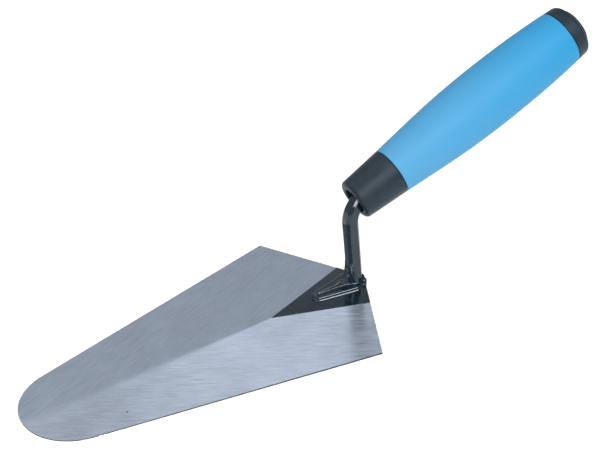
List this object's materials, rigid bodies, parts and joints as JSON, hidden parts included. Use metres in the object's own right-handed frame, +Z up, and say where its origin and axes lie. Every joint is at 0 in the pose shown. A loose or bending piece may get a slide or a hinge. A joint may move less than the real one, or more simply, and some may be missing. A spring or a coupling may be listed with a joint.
{
  "type": "brick trowel",
  "caption": "Round-nosed bricklayer's gauging trowel: taper-ground steel blade, forged black tang, blue soft grip with black collar and end cap.",
  "frame": {"origin": "underside of the blade, in the plane of the tang and handle, level with the blade's shoulders", "axes": "+X from the nose towards the handle, +Y across the blade, +Z up from the blade through the neck"},
  "size_m": [0.3096, 0.1089, 0.1044],
  "materials": {
    "blade_steel": "taper ground with fine lengthwise grinding marks, satin",
    "tang_lacquer": "glossy black lacquer over a forging and welds",
    "hard_plastic": "moulded polypropylene, fine satin",
    "soft_grip": "smooth thermoplastic rubber, soft sheen"
  },
  "bodies": {
    "root": {"blade": "blade_steel", "heel_lacquer": "tang_lacquer", "tang": "tang_lacquer", "toe_weld": "tang_lacquer", "heel_weld": "tang_lacquer", "handle_core": "hard_plastic", "grip_sleeve": "soft_grip", "end_cap": "hard_plastic", "end_disc": "hard_plastic"}
  },
  "joints": []
}
